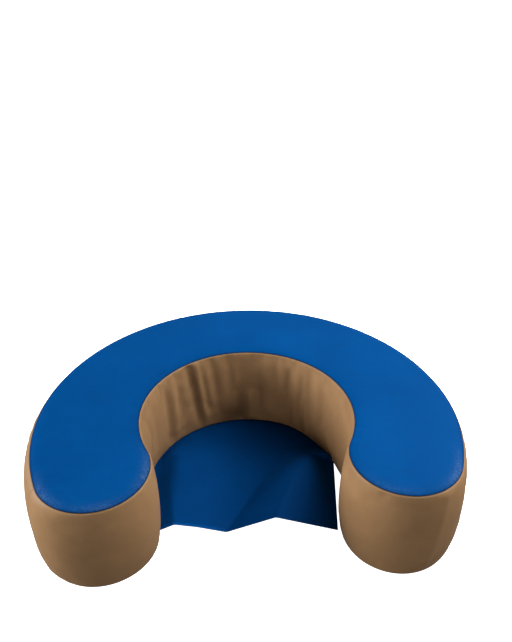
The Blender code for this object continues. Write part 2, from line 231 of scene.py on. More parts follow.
def top_height(edge_distance, middle_share):
    """Height of the top panel at a distance in from the seam."""
    roll = 1 - (1 - np.clip(edge_distance / TOP_ROLL_WIDTH, 0, 1)) ** 3
    return SEAM_HEIGHT + TOP_ROLL_HEIGHT * roll + TOP_CROWN * (1 - (1 - middle_share) ** 2)


def join_fans(body, left, right):
    """Give the first and last lines of the fans the points that the body has there."""
    middle = left.shape[1] - 1
    right[-1], right[0] = body[0, :middle + 1], body[0, :middle - 1:-1]
    left[0], left[-1] = body[-1, :middle + 1], body[-1, :middle - 1:-1]


def plate_grids(sides):
    """Grids over the ring's plan: body (across the ring) and a fan round each tip's centre."""
    outer = sides["outer"][0]
    well = sides["well"][0][::-1]
    centres = {"right": np.array([TIP_X, TIP_Y + RING_Y]), "left": np.array([-TIP_X, TIP_Y + RING_Y])}
    middle = (outer + well) / 2
    fade = np.clip(1 - np.arange(ARC_CELLS + 1) / TIP_BLEND, 0, 1) ** 2
    middle = middle + (centres["right"] - middle[0]) * fade[:, None]
    middle = middle + (centres["left"] - middle[-1]) * fade[::-1, None]
    half = np.linspace(0, 1, CROSS_CELLS // 2 + 1)
    first = outer[:, None] + (middle - outer)[:, None] * half[:, None]
    second = well[:, None] + (middle - well)[:, None] * half[:, None]
    body = np.concatenate([first, second[:, -2::-1]], axis=1)
    fans = []
    for name in ("left", "right"):
        rim = sides[name][0]
        fans.append(rim[:, None] + (centres[name] - rim)[:, None] * half[:, None])
    join_fans(body, *fans)
    return body, *fans


def raise_plate(plan):
    """Heights over a plate's grid, whose second axis runs in from the seam (and out again on the body)."""
    cells = plan.shape[1] - 1
    if cells == CROSS_CELLS:
        into = np.minimum(np.arange(cells + 1), cells - np.arange(cells + 1)) / (cells / 2)
    else:
        into = np.arange(cells + 1) / cells
    half_width = np.linalg.norm(plan[:, CROSS_CELLS // 2] - plan[:, 0], axis=1)
    return np.dstack([plan, top_height(into * half_width[:, None], np.broadcast_to(into, plan.shape[:2]))])


def weld(grids):
    """One list of points for several grids, and each grid's indices in it."""
    flat = np.concatenate([grid.reshape(-1, 3) for grid in grids])
    _, first, inverse = np.unique(np.round(flat, 6), axis=0, return_index=True, return_inverse=True)
    cuts = np.cumsum([grid.size // 3 for grid in grids])[:-1]
    return flat[first], [part.reshape(grid.shape[:2])
                         for part, grid in zip(np.split(inverse.reshape(-1), cuts), grids)]


def faces_of(index, keep=None):
    """Faces between the lines of an index grid, with corners that fall together taken as one."""
    corners = np.stack([index[:-1, :-1], index[1:, :-1], index[1:, 1:], index[:-1, 1:]], -1)
    chosen = corners.reshape(-1, 4) if keep is None else corners[keep]
    faces = [tuple(dict.fromkeys(face)) for face in chosen.tolist()]
    return [face for face in faces if len(face) > 2]


def resample(grid, places, axis):
    """The grid at fractional places along an axis, on a smooth curve through its points."""
    lines = np.moveaxis(grid, axis, 0)
    lines = np.concatenate([2 * lines[:1] - lines[1:2], lines, 2 * lines[-1:] - lines[-2:-1]])
    low = np.clip(np.floor(places).astype(int), 0, len(lines) - 4)
    share = (places - low).reshape(-1, *[1] * (lines.ndim - 1))
    before, here, there, after = (lines[low + i] for i in range(4))
    curve = here + 0.5 * share * (there - before + share * (
        2 * before - 5 * here + 4 * there - after + share * (3 * (here - there) + after - before)))
    return np.moveaxis(curve, 0, axis)

# ---------------------------------------------------------------- objects and simulation

def placed(name, data):
    """An object for the data, in the scene."""
    made = bpy.data.objects.new(name, data)
    bpy.context.scene.collection.objects.link(made)
    return made


def mesh_object(name, points, faces):
    """A smoothly shaded mesh object from points and faces."""
    data = bpy.data.meshes.new(name)
    data.from_pydata(np.asarray(points, float).tolist(), [], faces)
    data.validate()
    data.shade_smooth()
    return placed(name, data)


def index_grid(shape):
    return np.arange(shape[0] * shape[1]).reshape(shape)


def surface(name, points, keep=None, flip=False):
    """A mesh object over one grid of points."""
    faces = faces_of(index_grid(points.shape[:2]), keep)
    return mesh_object(name, points.reshape(-1, 3), [face[::-1] for face in faces] if flip else faces)


def applied(made):
    """The object with its modifiers applied."""
    bpy.context.view_layer.update()
    evaluated = made.evaluated_get(bpy.context.evaluated_depsgraph_get())
    data = bpy.data.meshes.new_from_object(evaluated)
    made.modifiers.clear()
    made.data = data
    return made


def points_of(data):
    co = np.empty(len(data.vertices) * 3)
    data.vertices.foreach_get("co", co)
    return co.reshape(-1, 3)


def puffed(points, faces, pinned):
    """Where the cover's points come to rest when the foam presses it outwards."""
    cover = mesh_object("cover_simulation", points, faces)
    group = cover.vertex_groups.new(name="pinned")
    group.add([int(i) for i in np.flatnonzero(pinned)], 1.0, "REPLACE")
    cloth = cover.modifiers.new("cloth", "CLOTH")
    for key, value in CLOTH.items():
        setattr(cloth.settings, key, value)
    cloth.settings.effector_weights.gravity = 0.0
    cloth.collision_settings.use_collision = False
    cloth.collision_settings.use_self_collision = False
    scene = bpy.context.scene
    for number in range(1, SIM_FRAMES + 1):
        scene.frame_set(number)
    evaluated = cover.evaluated_get(bpy.context.evaluated_depsgraph_get())
    result = points_of(evaluated.data)
    scene.frame_set(1)
    bpy.data.objects.remove(cover, do_unlink=True)
    return result


def sim_share(name, count):
    """The share of the simulated shape that each station keeps, fading to the tips' at the well's ends."""
    if name != "well":
        return np.full(count, SIM_SHARES[name])
    off = np.minimum(np.arange(count), np.arange(count)[::-1])
    share = smooth(off, 0, WELL_SIM_FADE)
    return SIM_SHARES["left"] + (SIM_SHARES["well"] - SIM_SHARES["left"]) * share


def cover_grids():
    """The cover's walls and top as coarse grids, puffed by the simulation."""
    sides = stations(SEAM_INSET)
    bulge, tuck = bulges()
    names = list(sides)
    plates = [raise_plate(plan) for plan in plate_grids(sides)]
    full = [wall_grid(sides[name], bulge[name], tuck[name], 1.0) for name in names] + plates
    grids = full
    start = [wall_grid(sides[name], bulge[name], tuck[name], START_SHARE) for name in names] + plates
    points, indices = weld(start)
    pinned = np.zeros(len(points), bool)
    cap = np.full(len(points), TOP_CAP)
    for name, index in zip(names, indices):
        cap[index] = SIM_CAP * bulge[name][:, None]
        pinned[index[:, [0, -1]]] = True
    pinned[indices[0][[0, -1]]] = True
    faces = [face for index in indices for face in faces_of(index)]
    moved = puffed(points, faces, pinned) - points
    length = np.maximum(np.linalg.norm(moved, axis=1), 1e-9)
    points = points + moved * np.minimum(1, cap / length)[:, None]
    shares = [sim_share(name, len(grid)) for name, grid in zip(names + ["top"] * 3, full)]
    grids = [plain + part[:, None, None] * (points[index] - plain)
             for plain, index, part in zip(full, indices, shares)]
    return dict(zip(names, grids[:4])), grids[4:]


walls, plates = cover_grids()


# ---------------------------------------------------------------- materials

NOISE = (0.3, 0.7)                  # the range that most of a noise's values fall in
# paler blue that is mixed in as a painted highlight
HIGHLIGHT_BLUE = (0.20, 0.27, 0.36, 1)
TAPE_THREAD = 0.00035


def shader_of(name, colour, roughness, **inputs):
    """A new Principled material: its node tree and its shader."""
    look = bpy.data.materials.new(name)
    look.use_nodes = True
    look.diffuse_color = (*colour, 1)
    shader = look.node_tree.nodes["Principled BSDF"]
    for key, value in {"Base_Color": (*colour, 1), "Roughness": roughness, **inputs}.items():
        shader.inputs[key.replace("_", " ")].default_value = value
    return look, look.node_tree, shader


def texture(tree, kind, output, stretch, **inputs):
    """A texture's output, in the object's own space."""
    coordinates = tree.nodes.new("ShaderNodeTexCoord")
    mapping = tree.nodes.new("ShaderNodeMapping")
    mapping.inputs["Scale"].default_value = stretch
    node = tree.nodes.new(kind)
    for key, value in inputs.items():
        node.inputs[key].default_value = value
    tree.links.new(coordinates.outputs["Object"], mapping.inputs["Vector"])
    tree.links.new(mapping.outputs["Vector"], node.inputs["Vector"])
    return node.outputs[output]


def noise(tree, scale, detail, stretch=(1, 1, 1)):
    return texture(tree, "ShaderNodeTexNoise", "Fac", stretch, Scale=scale, Detail=detail)


def cells(tree, scale):
    """Distance from the middles of small irregular cells."""
    return texture(tree, "ShaderNodeTexVoronoi", "Distance", (1, 1, 1), Scale=scale)


def painted(tree, name):
    """The values of a panel's own attribute."""
    node = tree.nodes.new("ShaderNodeAttribute")
    node.attribute_name = name
    return node.outputs["Fac"]


def to_range(tree, source, low, high, from_low=0.0, from_high=1.0, clamp=True):
    """The source's value mapped to a range."""
    node = tree.nodes.new("ShaderNodeMapRange")
    node.clamp = clamp
    for key, value in (("From Min", from_low), ("From Max", from_high), ("To Min", low), ("To Max", high)):
        node.inputs[key].default_value = value
    tree.links.new(source, node.inputs["Value"])
    return node.outputs["Result"]


def blended(tree, kind, *values):
    """Two colours blended by a factor, given first: each one is a value or another node's output."""
    node = tree.nodes.new("ShaderNodeMix")
    node.data_type = "RGBA"
    node.blend_type = kind
    for place, value in zip((0, 6, 7), values):
        if isinstance(value, bpy.types.NodeSocket):
            tree.links.new(value, node.inputs[place])
        else:
            node.inputs[place].default_value = value
    return node.outputs[2]


def toned(tree, colour, *layers):
    """The colour times the brightness of each layer: a source and the ranges it is mapped by."""
    tone = (*colour, 1)
    for source, *span in layers:
        tone = blended(tree, "MULTIPLY", 1.0, tone, to_range(tree, source, *span))
    return tone


def bumped(tree, *layers):
    """Bumps on top of each other: each has a height, a strength and a distance."""
    normal = None
    for height, strength, distance in layers:
        node = tree.nodes.new("ShaderNodeBump")
        node.inputs["Strength"].default_value = strength
        node.inputs["Distance"].default_value = distance
        tree.links.new(height, node.inputs["Height"])
        if normal:
            tree.links.new(normal, node.inputs["Normal"])
        normal = node.outputs["Normal"]
    return normal


def fed(tree, shader, **sources):
    """Link sources to the shader's inputs."""
    for key, source in sources.items():
        tree.links.new(source, shader.inputs[key.replace("_", " ")])


def vinyl(name, colour, roughness, grain=0.00012, seam_shade=0.25, specular=0.3, painted_highlight=0.0):
    """Coated upholstery fabric: fine pebbled grain, slight mottling, dirt in the seams (the seam attribute,
    which on some panels also holds painted shade and a painted highlight) and a painted highlight of paler
    blue.
    """
    look, tree, shader = shader_of(name, colour, roughness, Specular_IOR_Level=specular)
    cloud, mottle, fine = noise(tree, 9, 3), noise(tree, 70, 4), noise(tree, 1600, 2)
    pebbles = cells(tree, 900)
    tone = toned(tree, colour, (cloud, 0.93, 1.07, *NOISE), (mottle, 0.965, 1.035, *NOISE),
                 (pebbles, 1.02, 0.94, 0.0, 0.8), (painted(tree, "seam"), 1.0, seam_shade, 0.0, 1.0, False))
    # painted highlight: paler blue where the panel's highlight attribute is set, broken up by noise
    if painted_highlight:
        amount = tree.nodes.new("ShaderNodeMath")
        amount.operation = "MULTIPLY"
        tree.links.new(painted(tree, "painted_highlight"), amount.inputs[0])
        highlight_noise = to_range(tree, noise(tree, 260, 5), 0.25 * painted_highlight, painted_highlight, 0.40, 0.66)
        tree.links.new(highlight_noise, amount.inputs[1])
        tone = blended(tree, "MIX", amount.outputs[0], tone, HIGHLIGHT_BLUE)
    fed(tree, shader, Base_Color=tone,
        Roughness=to_range(tree, mottle, roughness - 0.05, roughness + 0.06, *NOISE),
        Normal=bumped(tree, (pebbles, 0.5, grain), (fine, 0.35, grain / 2), (cloud, 0.3, 0.0008)))
    return look


def foam_look(name, colour):
    """Open-cell foam: small dark pores."""
    look, tree, shader = shader_of(name, colour, 0.95)
    pores = cells(tree, 700)
    tone = toned(tree, colour, (pores, 0.7, 1.05, 0.0, 0.5), (noise(tree, 30, 3), 0.95, 1.05, *NOISE))
    fed(tree, shader, Base_Color=tone, Normal=bumped(tree, (pores, 0.8, 0.0006)))
    return look


def woven(name, colour):
    """A woven tape: threads that cross, a little uneven."""
    look, tree, shader = shader_of(name, colour, 0.8, Sheen_Weight=0.3, Sheen_Roughness=0.5)
    warp = noise(tree, 1 / TAPE_THREAD, 1, (0.12, 0.12, 1))
    weft = noise(tree, 1 / TAPE_THREAD, 1, (1, 1, 0.12))
    tone = toned(tree, colour, (warp, 0.8, 1.15, *NOISE), (weft, 0.8, 1.15, *NOISE),
                 (noise(tree, 120, 3), 0.92, 1.08, *NOISE))
    fed(tree, shader, Base_Color=tone, Normal=bumped(tree, (warp, 0.6, 0.0002), (weft, 0.6, 0.0002)))
    return look


def plain_detail(name, colour, roughness, metallic=0.0, scale=900, depth=0.00006):
    """Moulded nylon, thread or tumbled metal: a fine uneven surface with small changes of gloss."""
    look, tree, shader = shader_of(name, colour, roughness, Metallic=metallic)
    fine = noise(tree, scale, 4)
    fed(tree, shader, Base_Color=toned(tree, colour, (noise(tree, scale / 8, 2), 0.86, 1.12, *NOISE)),
        Roughness=to_range(tree, fine, roughness - 0.08, roughness + 0.12, *NOISE),
        Normal=bumped(tree, (fine, 0.5, depth)))
    return look


# the top's blue, with a painted highlight on its rolled edge (the last argument)
BLUE = vinyl("blue_vinyl_look", (0.0003, 0.037, 0.141), 0.55, seam_shade=0.08, specular=0.008, painted_highlight=0.16)
TAN = vinyl("tan_vinyl_look", (0.200, 0.114, 0.053), 0.50, specular=0.12)
# the mat's colour is the top's blue made darker, as painted shade for the mat down in the well
SHADED_BLUE = vinyl("mat_vinyl_look", (0.0002, 0.029, 0.117), 0.55, specular=0.008)
BASE = vinyl("base_vinyl_look", (0.030, 0.030, 0.034), 0.62, grain=0.0003)
FOAM = foam_look("foam_look", (0.78, 0.70, 0.45))
TAPE = woven("zip_tape_look", (0.200, 0.120, 0.060))
COIL = plain_detail("zip_coil_look", (0.180, 0.110, 0.055), 0.42)
THREAD = plain_detail("thread_look", (0.260, 0.160, 0.085), 0.65, scale=2500, depth=0.0001)
METAL = plain_detail("zip_metal_look", (0.450, 0.430, 0.400), 0.32, metallic=1.0)


def finished(made, look, body, slot, *stands_for):
    """Dress a piece: material, body and the CAD nodes it stands for, which are hidden; slot is not used."""
    made.data.materials.clear()
    made.data.materials.append(look)
    if body:
        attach(made, body)
    if stands_for:
        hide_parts(*stands_for)
    return made


# ---------------------------------------------------------------- cover panels

# small puckers beside the seams: height, reach, wave lengths and seed
UNDER_TOP_SEAM = (0.0004, 0.012, (0.013, 0.021, 0.034), 3)
OVER_BOTTOM_SEAM = (0.0006, 0.014, (0.015, 0.024, 0.041), 5)
ON_TOP = (0.00035, 0.012, (0.013, 0.022, 0.037), 11)
# broad waves between them: height, wave lengths and seeds
WALL_WAVES = (0.0006, (0.11, 0.19, 0.31), {"outer": 5, "left": 4, "well": 4, "right": 5})
TOP_WAVES = (0.0004, (0.13, 0.21), 2)
RING_MIDDLE = 0.25                  # the radius that the top's puckers are measured along
BASE_TUCK = 0.0016                  # over this distance the base is tucked up at its seam

# a soft upright ridge on the right tip, where the foam's corner shows through
RIDGE_PLACE = 0.745                 # as a share of the way round the tip
RIDGE_SLANT = 0.024
RIDGE_WIDTH = 0.0100
RIDGE_HEIGHT = 0.0030
RIDGE_ROUNDING = 0.0015
# a pucker just under the right tip's top seam
PUCKER_PLACE = 0.446
PUCKER_DEPTH = 0.0020
PUCKER_DROP = 0.007
PUCKER_WIDTH = 0.006
PUCKER_TALL = 0.005

# folds in the well's wall: angle at the top and at the bottom, half width, depth, lowest and highest share
WELL_FOLDS = (
    (160, 157, 0.0090, 0.0012, 0.00, 0.90),
    (145, 142, 0.0085, 0.0036, -0.10, 1.00),
    (135, 131, 0.0070, 0.0012, 0.30, 1.10),
    (125, 118, 0.0075, 0.0056, -0.05, 1.15),
    (118, 111, 0.0060, 0.0028, 0.10, 1.00),
    (110, 105, 0.0080, 0.0018, 0.20, 1.20),
    (99, 96, 0.0070, 0.0012, 0.40, 1.20),
    (92, 92, 0.0100, 0.0048, -0.35, 0.62),
    (80, 80, 0.0110, 0.0020, -0.20, 1.00),
    (68, 67, 0.0070, 0.0012, 0.20, 1.10),
    (59, 60, 0.0085, 0.0030, 0.00, 1.00),
    (52, 50, 0.0070, 0.0026, -0.20, 0.70),
    (44, 44, 0.0085, 0.0022, 0.10, 1.10),
    (32, 31, 0.0100, 0.0012, 0.00, 1.00),
)
FOLD_FADE = 0.3                     # share of the wall's height over which a fold begins and ends
# the ridge beside each fold, in half widths of the fold: height, distance and half width
FOLD_RIDGE = (0.6, 1.9, 1.1)

# a painted shade patch low in the middle of the well: angle, half width in degrees, strength and highest
# share
WELL_SHADE_ANGLE = 95
WELL_SHADE_SPREAD = 11
WELL_SHADE_DEPTH = 0.75
WELL_SHADE_HIGH = 0.65

# the opening for the zip: rows beside its edges, how far the edge is turned in, its half width and shade
SLOT_ROWS = (0.0, 0.0006, 0.0014, 0.0028)
SLOT_CLEAR = 0.025                  # other rows keep this far away from it, as a share of the wall's height
SLOT_TURN = 0.0006
SLOT_EDGE = 0.0009
SLOT_SHADE = 0.8
# the strip stays flat round the opening: where that begins and ends to give way, as angle and as height
FLAT_TURN = (0.02, 0.16)
FLAT_REACH = (0.004, 0.020)
# rows of cells between the seams: up the outer and the inner strip, and from a plate's seam to its middle
OUTER_ROWS = 22
INNER_ROWS = 24
PLATE_ROWS = 11

# where painted highlights lie on the rolled edge of the top: tip's side, middle angle and half width,
# strength
EDGE_HIGHLIGHTS = ((-1, -142, 26, 0.7), (-1, -78, 26, 0.5), (-1, -8, 26, 1.0), (1, -32, 24, 1.0), (1, -120, 30, 0.3))
HIGHLIGHT_START, HIGHLIGHT_FULL, HIGHLIGHT_END = 0.001, 0.004, 0.018    # distances in from the seam

ARC_LENGTHS = {
    "outer": (OUTER_RADIUS - SEAM_INSET) * (math.pi - 2 * TIP_ANGLE),
    "left": SEAM_TO_CENTRE * (math.pi + TIP_ANGLE - WELL_ANGLE),
    "well": (WELL_RADIUS + SEAM_INSET) * (math.pi - 2 * WELL_ANGLE),
    "right": SEAM_TO_CENTRE * (math.pi + TIP_ANGLE - WELL_ANGLE),
}
ARC_CELL_COUNTS = {"outer": ARC_CELLS, "left": TIP_CELLS, "well": ARC_CELLS, "right": TIP_CELLS}
AWAY = {name: side[1] for name, side in stations(SEAM_INSET).items()}


def rows_between(length, cells):
    """Places from 0 to 1 over a length, close together at both ends."""
    near = np.array(SEAM_ROWS) / length
    between = np.linspace(near[-1], 1 - near[-1], cells + 1)[1:-1]
    return np.concatenate([near, between, 1 - near[::-1]])


def groove(distance):
    """Depth of a seam at a distance from it."""
    return GROOVE_DEPTH * bell(distance, GROOVE_WIDTH)


def marked(made, values, name="seam"):
    """Give a panel an attribute that its material reads."""
    attribute = made.data.attributes.new(name, "FLOAT", "POINT")
    attribute.data.foreach_set("value", np.asarray(values, np.float32).reshape(-1))
    return made


def thickened(made, thickness=VINYL):
    """Give an open panel the thickness of the vinyl, behind its face."""
    solid = made.modifiers.new("thickness", "SOLIDIFY")
    solid.thickness = thickness
    solid.offset = -1
    return applied(made)


def mid_wall(up):
    """1 up the middle of a wall, fading to 0 at both seams."""
    return smooth(np.minimum(up, 1 - up), 0.0, 0.25)


def well_folds(angle, up):
    """Inward depth of the drag folds in the well's wall: each valley has a soft ridge on its right."""
    depth = 0
    ridge_height, ridge_off, ridge_width = FOLD_RIDGE
    for top, bottom, width, size, low, high in WELL_FOLDS:
        off = np.radians(angle - bottom - (top - bottom) * up) * WELL_RADIUS / width
        fade = smooth(up, low, low + FOLD_FADE) * (1 - smooth(up, high - FOLD_FADE, high))
        depth = depth + size * fade * (bell(off, 1) - ridge_height * bell(off + ridge_off, ridge_width))
    return depth


def puckers(kind, distance, along):
    """Height of a row of small puckers at a distance from its seam."""
    height, reach, waves, seed = kind
    return height * np.exp(-distance / reach) * ripple(along, waves, seed)


def wall_relief(name, along, up):
    """How far a wall's surface stands in front of its smooth shape."""
    height, waves, seeds = WALL_WAVES
    return (height * mid_wall(up) * ripple(along, waves, seeds[name])
            + puckers(UNDER_TOP_SEAM, (1 - up) * WALL_TALL, along)
            + puckers(OVER_BOTTOM_SEAM, up * WALL_TALL, along))


def right_tip_relief(along, up):
    """The ridge and the pucker on the right tip, at distances along its arc."""
    off = along - RIDGE_PLACE * ARC_LENGTHS["right"] - RIDGE_SLANT * (up - 0.5)
    ridge = np.exp(-np.sqrt(off ** 2 + RIDGE_ROUNDING ** 2) / RIDGE_WIDTH) * smooth(up, 0.0, 0.2)
    pucker = bell(along - PUCKER_PLACE * ARC_LENGTHS["right"], PUCKER_WIDTH)
    pucker = pucker * bell((1 - up) * WALL_TALL - PUCKER_DROP, PUCKER_TALL)
    return RIDGE_HEIGHT * ridge - PUCKER_DEPTH * pucker


def zip_band(grid, share, up, relief):
    """Along the zip the strip is held flat, so its relief there gives way to a plain cylinder."""
    off = np.abs(TIP_ANGLE + share * (math.pi - 2 * TIP_ANGLE) - math.pi / 2)
    from_zip = np.abs(VINYL + up * WALL_TALL - ZIP_HEIGHT)
    along = 1 - smooth(off, *(SLOT_HALF_ANGLE + turn for turn in FLAT_TURN))
    hold = along * (1 - smooth(from_zip, *(ZIP_SLOT / 2 + reach for reach in FLAT_REACH)))
    radius = np.linalg.norm(grid[..., :2] - np.array([0, RING_Y]), axis=-1)
    return relief * (1 - hold) + (OUTER_RADIUS - radius) * hold


def arc_columns(cells, length, first_seam, last_seam):
    """Fractional columns along a wall, close together where it ends in an upright seam."""
    places = np.arange(cells * FINER + 1) / FINER
    near = np.array(SEAM_ROWS) * cells / length
    if first_seam:
        places = np.concatenate([near, places[places > near[-1] + 0.3]])
    if last_seam:
        places = np.concatenate([places[places < cells - near[-1] - 0.3], cells - near[::-1]])
    return places


def directions(name, columns):
    """Outward directions in plan at fractional columns."""
    away = resample(AWAY[name], columns, 0)
    return away / np.linalg.norm(away, axis=1, keepdims=True)


def top_lip(name, share):
    """How much the top seam's shade is narrowed: the most in the well, less towards the tips' fronts."""
    towards_well = {"left": share, "right": 1 - share}.get(name, np.zeros_like(share))
    return TOP_LIP[name] + (TOP_LIP["well"] - TOP_LIP[name]) * smooth(towards_well, 0.45, 1.0)


def wall_panel(names, rows):
    """Positions and marks over one strip made of one or more of the plan's arcs: dark seams, and in the well
    a painted shade patch.
    """
    parts, marks, start = [], [], 0.0
    total = sum(ARC_LENGTHS[name] for name in names)
    up = rows[None, :]
    across_seam = np.minimum(up, 1 - up) * WALL_TALL
    below = (1 - up) * WALL_TALL
    shade_width = np.where(up < 0.5, WALL_SEAM_SHADE, TOP_SEAM_SHADE)
    for name in names:
        cells, length = ARC_CELL_COUNTS[name], ARC_LENGTHS[name]
        columns = arc_columns(cells, length, name == names[0], name == names[-1])
        grid = resample(resample(walls[name], columns, 0), rows * WALL_CELLS, 1)
        share = (columns / cells)[:, None]
        along = start + share * length
        relief = wall_relief(name, along, up)
        lip = top_lip(name, share) * bell(below - TOP_LIP_PLACE, TOP_LIP_WIDTH)
        mark = np.maximum(bell(across_seam, shade_width) - lip, 0)
        to_left, to_right, beside = along, total - along, total - along - RIGHT_PULL_PLACE
        if name == "outer":
            to_left, to_right, beside = total - along, along, along + RIGHT_PULL_PLACE
            relief = zip_band(grid, share, up, relief)
        elif name == "well":
            angle = np.degrees(math.pi - WELL_ANGLE + share * (2 * WELL_ANGLE - math.pi))
            relief = relief - well_folds(angle, up)
            # painted shade low in the middle of the well's wall, held with the seam marks
            well_shade = bell(angle - WELL_SHADE_ANGLE, WELL_SHADE_SPREAD) * (1 - smooth(up, 0.0, WELL_SHADE_HIGH))
            mark = np.maximum(mark, WELL_SHADE_DEPTH * well_shade)
        elif name == "right":
            relief = relief + right_tip_relief(along - start, up)
        joins = LEFT_JOIN * (groove(to_left) + groove(to_right))
        pull = RIGHT_PULL * groove(beside / RIGHT_PULL_SPREAD)
        pull = pull * (RIGHT_PULL_ENDS + (1 - RIGHT_PULL_ENDS) * mid_wall(up))
        depth = np.maximum(np.minimum(groove(across_seam) + joins, GROOVE_DEPTH), pull)
        to_join = np.minimum(to_left, to_right)
        fade = 1 - bell(np.minimum(across_seam, to_join), EDGE_FADE)
        grid[..., :2] += directions(name, columns)[:, None, :] * (relief * fade - depth)[..., None]
        lip = JOIN_LIP * bell(to_join - JOIN_LIP_PLACE, JOIN_LIP_WIDTH)
        mark = np.maximum(mark, LEFT_JOIN * (bell(to_join, WALL_SEAM_SHADE) - lip))
        mark = np.maximum(mark, RIGHT_PULL_SHADE * bell(beside, RIGHT_PULL_SHADE_WIDTH) * mid_wall(up))
        skip = 0 if name == names[0] else 1
        parts.append(grid[skip:])
        marks.append(mark[skip:])
        start += length
    return np.concatenate(parts), np.concatenate(marks)


def drop_loose(made):
    """Delete points that no face uses."""
    work = bmesh.new()
    work.from_mesh(made.data)
    bmesh.ops.delete(work, geom=[v for v in work.verts if not v.link_faces], context="VERTS")
    work.to_mesh(made.data)
    work.free()


def outer_cover():
    """The strip round the back, with the opening for the zip."""
    low, high = ((ZIP_HEIGHT + side * ZIP_SLOT / 2 - VINYL) / WALL_TALL for side in (-1, 1))
    rows = rows_between(WALL_TALL, OUTER_ROWS)
    rows = rows[(rows < low - SLOT_CLEAR) | (rows > high + SLOT_CLEAR)]
    lips = np.array(SLOT_ROWS) / WALL_TALL
    rows = np.sort(np.concatenate([rows, low - lips, high + lips, np.linspace(low, high, 4)[1:-1]]))
    points, marks = wall_panel(["outer"], rows)
    angle = np.arctan2(points[:, 0, 1] - RING_Y, points[:, 0, 0])
    angle = np.where(angle < -math.pi / 2, angle + 2 * math.pi, angle)
    in_slot_column = np.abs((angle[1:] + angle[:-1]) / 2 - math.pi / 2) < SLOT_HALF_ANGLE - 0.003
    middle_row = (rows[1:] + rows[:-1]) / 2
    in_slot_row = (middle_row > low) & (middle_row < high)
    edge = np.minimum(np.abs(rows - low), np.abs(rows - high))[None, :] * WALL_TALL
    lip = bell(edge, SLOT_EDGE) * (np.abs(angle - math.pi / 2)[:, None] < SLOT_HALF_ANGLE)
    out = np.column_stack([np.cos(angle), np.sin(angle)])[:, None, :]
    points[..., :2] -= out * (SLOT_TURN * lip)[..., None]
    made = surface("outer_cover", points, ~(in_slot_column[:, None] & in_slot_row[None, :]))
    marked(made, np.maximum(marks, SLOT_SHADE * lip))
    drop_loose(made)
    return finished(thickened(made), TAN, "cushion", "tan_vinyl", "outer_strip")


def inner_cover():
    """The strip round the tips and the wall of the well."""
    points, marks = wall_panel(["left", "well", "right"], rows_between(WALL_TALL, INNER_ROWS))
    made = marked(surface("inner_cover", points), marks)
    return finished(thickened(made), TAN, "cushion", "tan_vinyl", "inner_strip")


def plate_panel(name, plates, relief, flip=False):
    """One closed sheet over the ring's plan, from the body grid and the two fans."""
    near = np.array(SEAM_ROWS) / SEAM_TO_CENTRE
    half = np.concatenate([near, np.linspace(near[-1], 1, PLATE_ROWS + 1)[1:]])
    into = np.concatenate([half, half[-2::-1]])
    fan_places = half * CROSS_CELLS / 2
    body_places = np.concatenate([fan_places, CROSS_CELLS - fan_places[-2::-1]])
    columns = np.arange(ARC_CELLS * FINER + 1) / FINER
    round_tip = np.arange(TIP_CELLS * FINER + 1) / FINER
    body = resample(resample(plates[0], columns, 0), body_places, 1)
    left, right = (resample(resample(plate, round_tip, 0), fan_places, 1) for plate in plates[1:])
    join_fans(body, left, right)
    left[:, -1], right[:, -1] = body[-1, len(half) - 1], body[0, len(half) - 1]
    side = smooth(np.linspace(0, 1, len(into)), 0.35, 0.65)[None, :, None]
    outer_away, well_away = directions("outer", columns), directions("well", columns)[::-1]
    facing = [outer_away[:, None, :] * (1 - side) + well_away[:, None, :] * side]
    facing += [np.repeat(directions(tip, round_tip)[:, None, :], len(half), 1) for tip in ("left", "right")]
    join_fans(*facing)
    grids, marks = [], []
    for grid, away, share in zip((body, left, right), facing, (into, half, half)):
        distance = np.broadcast_to(share[None, :] * SEAM_TO_CENTRE, grid.shape[:2])
        grids.append(relief(grid, distance))
        grid[..., :2] -= away * groove(distance)[..., None]
        marks.append(bell(distance, PLATE_SEAM_SHADE))
    points, indices = weld(grids)
    values = np.zeros(len(points))
    for index, mark in zip(indices, marks):
        values[index] = mark
    faces = [face[::-1] if flip else face for index in indices for face in faces_of(index)]
    return marked(mesh_object(name, points, faces), values)


def top_relief(grid, distance):
    """The top panel: small puckers beside its seam and a faint unevenness."""
    along = np.arctan2(grid[..., 1] - RING_Y, grid[..., 0]) * RING_MIDDLE
    height, waves, seed = TOP_WAVES
    broad = height * ripple(grid[..., 0] + 0.6 * grid[..., 1], waves, seed)
    grid[..., 2] += (puckers(ON_TOP, distance, along) + broad) * (1 - bell(distance, EDGE_FADE))
    return grid


def base_relief(grid, distance):
    """The base panel: flat on the floor, tucked up at its seam."""
    grid[..., 2] = VINYL * bell(distance, BASE_TUCK)
    return grid


def top_cover():
    made = plate_panel("top_cover", plates, top_relief)
    points = points_of(made.data)
    # painted highlights on the rolled edge of the top, near the tips
    painted_highlight = np.zeros(len(points))
    for side, middle, half, strength in EDGE_HIGHLIGHTS:
        off = points[:, :2] - np.array([side * TIP_X, TIP_Y + RING_Y])
        distance = SEAM_TO_CENTRE - np.linalg.norm(off, axis=1)
        angle = np.degrees(np.arctan2(off[:, 1], off[:, 0]))
        edge = smooth(distance, HIGHLIGHT_START, HIGHLIGHT_FULL) * (1 - smooth(distance, HIGHLIGHT_FULL, HIGHLIGHT_END))
        painted_highlight = np.maximum(painted_highlight, strength * edge * bell(angle - middle, half))
    marked(made, painted_highlight, "painted_highlight")
    return finished(thickened(made), BLUE, "cushion", "blue_vinyl", "top_panel")


